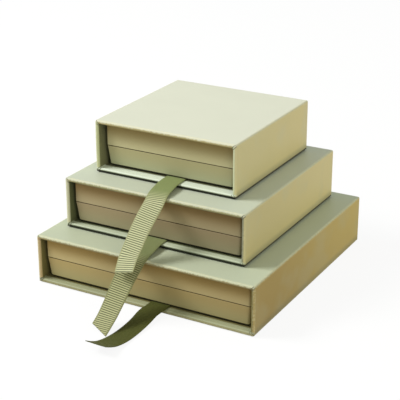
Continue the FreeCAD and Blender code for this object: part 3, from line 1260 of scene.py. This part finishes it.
@dataclass
class Ribbon:
    """A grosgrain ribbon pull and the end of it that is glued under the tray.

    The route's points are in millimetres: X, Y, Z, and how much higher the ribbon's right edge
    stands than its left one. A ribbon with a joint below it gets a mesh of its own. keep is not
    used.
    """

    box: BoxName
    weave: Grosgrain
    route: Sequence[tuple[float, float, float, float]]
    slant: float = 0.0
    joint: str | None = None
    keep: float = 1.0
    width: float = 10.0 * MM
    thickness: float = 0.3 * MM
    pitch: float = 1.0 * MM
    rib_height: float = 0.11 * MM
    rib_fullness: float = 0.6
    selvedge: float = 0.9 * MM
    selvedge_rib: float = 0.25
    selvedge_step: float = 0.05
    brink: float = 0.98
    brink_thickness: float = 0.35
    half_steps: int = 5
    steps_a_rib: int = 8
    route_steps: int = 40
    window: int = 2
    crease: float = 60.0
    cut_margin: float = 0.02 * MM
    # nearer the mouth than the first the ribbon takes one even colour; past the second the ribs
    # carry their full painted light and shade
    rib_shade_start: float = 22 * MM
    rib_shade_end: float = 30 * MM

    @property
    def name(self) -> str:
        """The box and ribbon."""
        return f"{self.box.value}_ribbon"

    @property
    def flat(self) -> float:
        """Where the selvedge starts across the ribbon, from 0 in its middle to 1."""
        return 1 - 2 * self.selvedge / self.width

    def build(self) -> None:
        """Model the free length and the glued end, dress them and put them in the frame."""
        self.build_pull()
        self.build_tail()

    def traced(self, lift: float) -> list[Vector]:
        """Points of a smooth line along the route, or along the ribbon's right edge.

        Args:
            lift: 0 for the middle of the ribbon, 1 for its right edge.

        Returns:
            The points, in metres.
        """
        curve = bpy.data.curves.new(f"{self.name}_route", "CURVE")
        curve.dimensions = "3D"
        curve.resolution_u = self.route_steps
        spline = curve.splines.new("NURBS")
        spline.points.add(len(self.route) - 1)
        for point, (x, y, z, rise) in zip(spline.points, self.route):
            place = Vector((x, y, z)) * MM
            place += Vector((self.width / 2, 0, rise * MM / 2)) * lift
            point.co = (*place, 1.0)
        spline.order_u = 3
        spline.use_endpoint_u = True
        holder = bpy.data.objects.new(f"{self.name}_route", curve)
        bpy.context.scene.collection.objects.link(holder)
        bpy.context.view_layer.update()
        line = bpy.data.meshes.new_from_object(holder)
        points = [vertex.co.copy() for vertex in line.vertices]
        bpy.data.objects.remove(holder)
        bpy.data.meshes.remove(line)
        return points

    def stations(self) -> list[Station]:
        """Even steps along the ribbon's free length.

        Returns:
            The steps, from the tray's foot to the ribbon's end.
        """
        middle = self.traced(0)
        right = self.traced(1)
        run = [0.0]
        for before, after in zip(middle, middle[1:]):
            run.append(run[-1] + (after - before).length)
        count = round(run[-1] / self.pitch * self.steps_a_rib)
        found = []
        index = 0
        for step in range(count + 1):
            distance = run[-1] * step / count
            while index < len(run) - 2 and run[index + 1] < distance:
                index += 1
            share = (distance - run[index]) / (run[index + 1] - run[index])
            place = middle[index].lerp(middle[index + 1], share)
            edge = right[index].lerp(right[index + 1], share)
            before = middle[max(index - self.window, 0)]
            after = middle[min(index + 1 + self.window, len(middle) - 1)]
            along = (after - before).normalized()
            across = edge - place
            across = (across - along * across.dot(along)).normalized()
            found.append(Station(distance, place, across, along.cross(across)))
        return found

    def profile(self) -> list[float]:
        """Steps across the ribbon, closer together at its edges.

        Returns:
            Their places, from -1 at its left edge to 1 at its right one.
        """
        inner = Bench.even(-self.flat, self.flat, 2 * self.half_steps)[1:-1]
        outer = [self.flat, self.flat + self.selvedge_step, self.brink, 1.0]
        return [-place for place in reversed(outer)] + inner + outer

    def section(self, station: Station) -> Iterator[tuple[Vector, float, float]]:
        """Go round the ribbon at one station, over its face and back under it.

        Args:
            station: the step along the ribbon.

        Returns:
            Each point's place in turn, how high on a rib it lies, and how much of the
            rib's height the selvedge takes off it.
        """
        wave = abs(math.sin(math.pi * station.distance / self.pitch)) ** self.rib_fullness
        for side in (1, -1):
            for step in self.profile():
                in_selvedge = abs(step) > self.flat + self.selvedge_step / 2
                ribbing = self.selvedge_rib if in_selvedge else 1.0
                taper = self.brink_thickness if abs(step) == 1.0 else 1.0
                raised = (wave - 0.5) * self.rib_height * ribbing * taper
                height = self.thickness / 2 * taper + raised
                place = station.place + station.across * (step * side * self.width / 2)
                yield place + station.out * (side * height), wave, 1.0 - ribbing

    def strip(self, name: str, stations: Sequence[Station]) -> Piece:
        """The ribbon's closed mesh, with its ribs, along some stations.

        Args:
            name: the piece's name.
            stations: the steps that it follows.

        Returns:
            The new object, with the attributes that its weave reads.
        """
        points = []
        marks = {mark: [] for mark in Mark}
        for station in stations:
            # the ribs' painted light and shade fades in with distance from the mouth
            fade = (station.distance - self.rib_shade_start) / (self.rib_shade_end - self.rib_shade_start)
            near = 1.0 - min(1.0, max(0.0, fade))
            for point, wave, selvedge in self.section(station):
                points.append(tuple(point))
                for mark, value in zip(Mark, (wave, selvedge, near)):
                    marks[mark].append(value)
        ring = 2 * len(self.profile())
        last = (len(stations) - 1) * ring
        faces = []
        for start in range(0, last, ring):
            for step in range(ring):
                near_side = (start + step, start + (step + 1) % ring)
                faces.append((*near_side, near_side[1] + ring, near_side[0] + ring))
        faces.append(tuple(reversed(range(ring))))
        faces.append(tuple(range(last, last + ring)))
        mesh = bpy.data.meshes.new(name)
        mesh.from_pydata(points, [], faces)
        for mark, values in marks.items():
            layer = mesh.attributes.new(mark.value, "FLOAT", "POINT")
            layer.data.foreach_set("value", values)
        piece = bpy.data.objects.new(name, mesh)
        bpy.context.scene.collection.objects.link(piece)
        with Bench.editing(piece):
            bpy.ops.mesh.select_all(action="SELECT")
            bpy.ops.mesh.normals_make_consistent(inside=False)
        return piece

    def finish(self, piece: Piece, weave: str, node: str) -> None:
        """Dress a length of ribbon and put it in the frame.

        Args:
            piece: the length of ribbon.
            weave: the name of its material.
            node: the node that it replaces.
        """
        Bench.smooth(piece, self.crease)
        self.weave.dress(piece, weave)
        install(piece, node, f"{self.box.value}_drawer")

    def build_pull(self) -> None:
        """The free length, from the tray's foot over the mouth to the ribbon's end."""
        stations = self.stations()
        pull = self.strip(f"{self.name}_free_length", stations)
        if self.slant:
            self.trim(pull, stations[-1])
        self.finish(pull, f"{self.name}_weave", f"{self.name}_pull")
        if self.joint:
            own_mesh(pull)

    def trim(self, pull: Piece, end: Station) -> None:
        """Cut the far end at its slant.

        Args:
            pull: the ribbon's free length, square at its end.
            end: the last of its stations.
        """
        along = end.across.cross(end.out)
        reach = end.across * (math.copysign(self.width, self.slant) / 2)
        long_corner = end.place + reach
        short_corner = end.place - reach - along * abs(self.slant) * MM
        cut = (short_corner - long_corner).cross(end.out).normalized()
        if cut.dot(along) < 0:
            cut.negate()
        with Bench.editing(pull):
            bpy.ops.mesh.select_all(action="SELECT")
            bpy.ops.mesh.bisect(
                plane_co=long_corner - cut * self.cut_margin, plane_no=cut, use_fill=True,
                clear_outer=True
            )

    def build_tail(self) -> None:
        """The end that is glued under the tray, up to where the free length starts."""
        node = f"{self.name}_tail"
        limits = Limits.of(node)
        length = limits.high.y - self.route[0][1] * MM
        count = round(length / self.pitch * self.steps_a_rib)
        across, out = Vector((1, 0, 0)), Vector((0, 0, 1))
        stations = []
        for step in range(count + 1):
            distance = length * step / count
            place = Vector((limits.middle.x, limits.high.y - distance, limits.middle.z))
            stations.append(Station(distance, place, across, out))
        tail = self.strip(f"{self.name}_glued_end", stations)
        self.finish(tail, f"{self.name}_end_weave", node)


@dataclass
class HiddenPieces:
    """The boards, linings and sheets whose form the frame already holds."""

    box: BoxName
    board: Greyboard = Greyboard()
    lining: PlainPaper = PlainPaper((150, 150, 112))
    sheet: PlainPaper = PlainPaper((196, 204, 178))

    def dress(self) -> None:
        """Give each node its paper or its board."""
        finishes = {
            "_sheet": self.sheet,
            "_strip": self.sheet,
            "_lining_paper": self.lining,
            "_board": self.board,
        }
        for name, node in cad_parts.items():
            for ending, finish in finishes.items():
                if name.startswith(self.box.value) and name.endswith(ending):
                    finish.dress(node, f"{name}_finish")
                    log.info("%s dressed", name)


@dataclass(frozen=True)
class Lamp:
    """A square lamp that faces the stack.

    Its level is the light that it gives a surface that faces it, 1 being plain white.
    """

    name: str
    place: Place
    size: float
    level: float
    colour: Place = (1.0, 1.0, 1.0)
    target: Place = (0.0, 0.0, 0.035)

    def build(self) -> None:
        """Hang the lamp in its place."""
        way = Vector(self.target) - Vector(self.place)
        lamp = bpy.data.lights.new(self.name, "AREA")
        lamp.size = self.size
        lamp.color = self.colour
        lamp.energy = math.pi ** 2 * way.length ** 2 * self.level
        holder = bpy.data.objects.new(self.name, lamp)
        holder.location = self.place
        holder.rotation_euler = way.to_track_quat("-Z", "Y").to_euler()
        bpy.context.scene.collection.objects.link(holder)


@dataclass
class Studio:
    """A white table and backdrop, soft light from the upper left, and the camera.

    The camera's place is in millimetres, its angles in degrees.
    """

    floor_size: float = 8.0
    floor_gap: float = 0.1 * MM
    floor_white: float = 0.55
    floor_glow: float = 1.12
    glow_share: float = 0.8
    sky_level: float = 0.43
    sky_colour: tuple[float, ...] = (0.94, 1.0, 0.94, 1.0)
    lamps: tuple[Lamp, ...] = (
        Lamp("key_light", (-1.0, -0.5, 1.15), 0.55, 0.78),
        Lamp("fill_light", (1.3, -0.7, 0.9), 1.0, 0.2, (1.0, 0.9, 0.7)),
    )
    eye: Place = (260.23, -470.551, 250.33)
    azimuth: float = 28.9
    elevation: float = 21.263
    roll: float = 0.035
    lens: float = 107.068
    sensor: float = 36.0
    clip_start: float = 0.01
    shift: Span = (-0.01331, -0.04165)

    def build(self) -> None:
        """Set up the floor, the light and the camera."""
        self.build_floor()
        self.build_sky()
        for lamp in self.lamps:
            lamp.build()
        self.build_camera()
        bpy.context.scene.view_settings.view_transform = "Standard"
        log.info("studio: floor, sky, two lamps and camera")

    def build_floor(self) -> None:
        """A white floor that keeps a light shadow."""
        Bench.clear()
        bpy.ops.mesh.primitive_plane_add(size=self.floor_size, location=(0, 0, -self.floor_gap))
        floor = bpy.context.object
        floor.name = "studio_floor"
        Bench.settle(floor)
        material = bpy.data.materials.new("studio_floor")
        nodes = Nodes(material, "Material")
        matt = nodes.step("BsdfDiffuse", 0, {"Color": (*(self.floor_white,) * 3, 1.0)})
        glow = nodes.step("Emission", 0, {"Color": WHITE, "Strength": self.floor_glow})
        nodes.show(matt, glow, self.glow_share)
        floor.data.materials.append(material)

    def build_sky(self) -> None:
        """Even light from all round, seen as plain white."""
        world = bpy.data.worlds.new("studio_sky")
        bpy.context.scene.world = world
        nodes = Nodes(world, "World")
        level = {"Color": self.sky_colour, "Strength": self.sky_level}
        white = {"Color": WHITE, "Strength": 1.0}
        lit, seen = (nodes.step("Background", 0, inputs) for inputs in (level, white))
        nodes.show(lit, seen, 1.0)

    def build_camera(self) -> None:
        """The camera at the photograph's angle, distance and framing."""
        turn, rise, roll = (math.radians(a) for a in (self.azimuth, self.elevation, self.roll))
        facing = Matrix.Rotation(turn, 4, "Z") @ Matrix.Rotation(math.pi / 2 - rise, 4, "X")
        facing @= Matrix.Rotation(roll, 4, "Z")
        lens = bpy.data.cameras.new("photo_camera")
        lens.sensor_width = self.sensor
        lens.lens = self.lens
        lens.shift_x, lens.shift_y = self.shift
        lens.clip_start = self.clip_start
        camera = bpy.data.objects.new("photo_camera", lens)
        camera.matrix_world = Matrix.Translation(Vector(self.eye) * MM) @ facing
        bpy.context.scene.collection.objects.link(camera)
        bpy.context.scene.camera = camera


TRAY_TAPER = 1.1 * MM
# The sleeve papers are coloured face by face as they look lit in the stack, with painted light and
# shade.
SLEEVE_PAPERS = {
    BoxName.TOP: SleevePaper(
        top=(218, 219, 200), side=(228, 216, 161), far_side=(239, 223, 163),
        left_side=(206, 207, 168), upper_lip=(190, 175, 122), left_lip=(207, 211, 164),
        right_lip=(204, 209, 172), foot_lip=(186, 196, 166), floor=(222, 231, 214),
        inside=(123, 123, 91)
    ),
    BoxName.MIDDLE: SleevePaper(
        top=(198, 204, 184), side=(218, 204, 147), far_side=(239, 223, 162),
        left_side=(198, 199, 162), upper_lip=(172, 166, 118), left_lip=(217, 215, 184),
        right_lip=(136, 136, 112), foot_lip=(92, 102, 74), floor=(191, 200, 174),
        inside=(103, 107, 74)
    ),
    BoxName.BOTTOM: SleevePaper(
        top=(191, 198, 172), side=(176, 149, 76), far_side=(215, 189, 104),
        left_side=(186, 180, 136), upper_lip=(160, 146, 98), left_lip=(205, 181, 133),
        right_lip=(116, 104, 50), foot_lip=(150, 146, 104), floor=(164, 168, 134),
        inside=(121, 113, 69), shading=0.0
    ),
}
# The lids' and trays' fronts carry painted light and shade, darkest up under the sleeves' lips on
# the lids.
LID_PAPERS = {
    BoxName.TOP: CasePaper((210, 201, 156), (168, 144, 90), (196, 196, 158), 0.95),
    BoxName.MIDDLE: CasePaper((189, 172, 134), (158, 128, 79), (186, 180, 142), 0.78),
    BoxName.BOTTOM: CasePaper((208, 188, 135), (180, 148, 85), (184, 172, 126), 0.80),
}
TRAY_PAPERS = {
    BoxName.TOP: CasePaper((183, 185, 148), (192, 183, 138), (196, 196, 158), 0.93),
    BoxName.MIDDLE: CasePaper((174, 166, 133), (177, 158, 123), (186, 180, 142), 0.78),
    BoxName.BOTTOM: CasePaper((190, 179, 129), (197, 174, 117), (184, 172, 126), 0.80),
}
RIBBONS = (
    Ribbon(
        BoxName.TOP, Grosgrain((203, 204, 159), (54, 58, 23), (133, 144, 93), (160, 161, 116)),
        route=(
            (-1.2, -18.6, 52.175, 0), (-1.2, -31.4, 52.18, 0), (-0.35, -37.7, 51.65, 0),
            (0.4, -44.0, 50.95, 0), (1.05, -48.7, 48.25, -0.7), (0.45, -52.35, 44.8, -1.25),
            (-0.3, -55.8, 41.15, -0.6), (-0.8, -59.4, 37.3, -0.1),
            (-1.1, -62.85, 33.15, 0.4), (-1.75, -66.05, 29.0, 0.9),
            (-1.3, -69.55, 25.85, 1.6), (-0.7, -72.3, 23.4, 2.3),
        ),
        joint="middle_drawer_slide", keep=0.14
    ),
    Ribbon(
        BoxName.MIDDLE, Grosgrain((183, 183, 134), (45, 48, 19), (129, 137, 92), (131, 132, 86)),
        route=(
            (-2.65, -33.9, 26.975, 0), (-2.65, -45.2, 26.98, 0), (-1.95, -52.0, 26.85, -1.1),
            (-2.05, -58.75, 25.95, -2.15), (-1.7, -63.9, 23.5, -3.45),
            (-2.1, -68.7, 19.8, -3.6), (-2.65, -73.25, 14.85, -1.85),
            (-3.2, -78.2, 9.3, 0), (-3.8, -83.7, 3.9, 0.6), (-3.7, -90.9, 0.7, 0.2),
        ),
        slant=5.0, joint="bottom_drawer_slide", keep=0.16
    ),
    Ribbon(
        # painted shade: the bottom ribbon's colours are far darker than the other two ribbons'
        BoxName.BOTTOM, Grosgrain((80, 83, 36), (66, 70, 28), (74, 78, 32), (84, 87, 40)),
        route=(
            (7.95, -46.4, 2.575, 0), (7.95, -60.3, 2.58, 0), (6.9, -64.7, 2.2, 0),
            (7.15, -71.6, 1.0, 0.45), (7.3, -79.2, 0.6, 0.4), (7.15, -87.1, 0.5, 0.15),
            (6.7, -94.4, 1.2, 0), (6.1, -100.75, 2.8, 0), (5.5, -105.7, 5.6, -0.4),
        ),
        slant=-1.5
    ),
)


def main() -> None:
    """Build and dress the three boxes and set up the studio."""
    logging.basicConfig(level=logging.INFO, format="%(name)s %(message)s")
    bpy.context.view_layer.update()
    for box in BoxName:
        Sleeve(box, Slot.SLEEVE, SLEEVE_PAPERS[box]).build()
        CaseCover(box, Slot.TRAY, TRAY_PAPERS[box], taper=TRAY_TAPER).build()
        CaseCover(box, Slot.LID, LID_PAPERS[box]).build()
        HiddenPieces(box).dress()
    for ribbon in RIBBONS:
        ribbon.build()
    Studio().build()


if __name__ == "__main__":
    main()
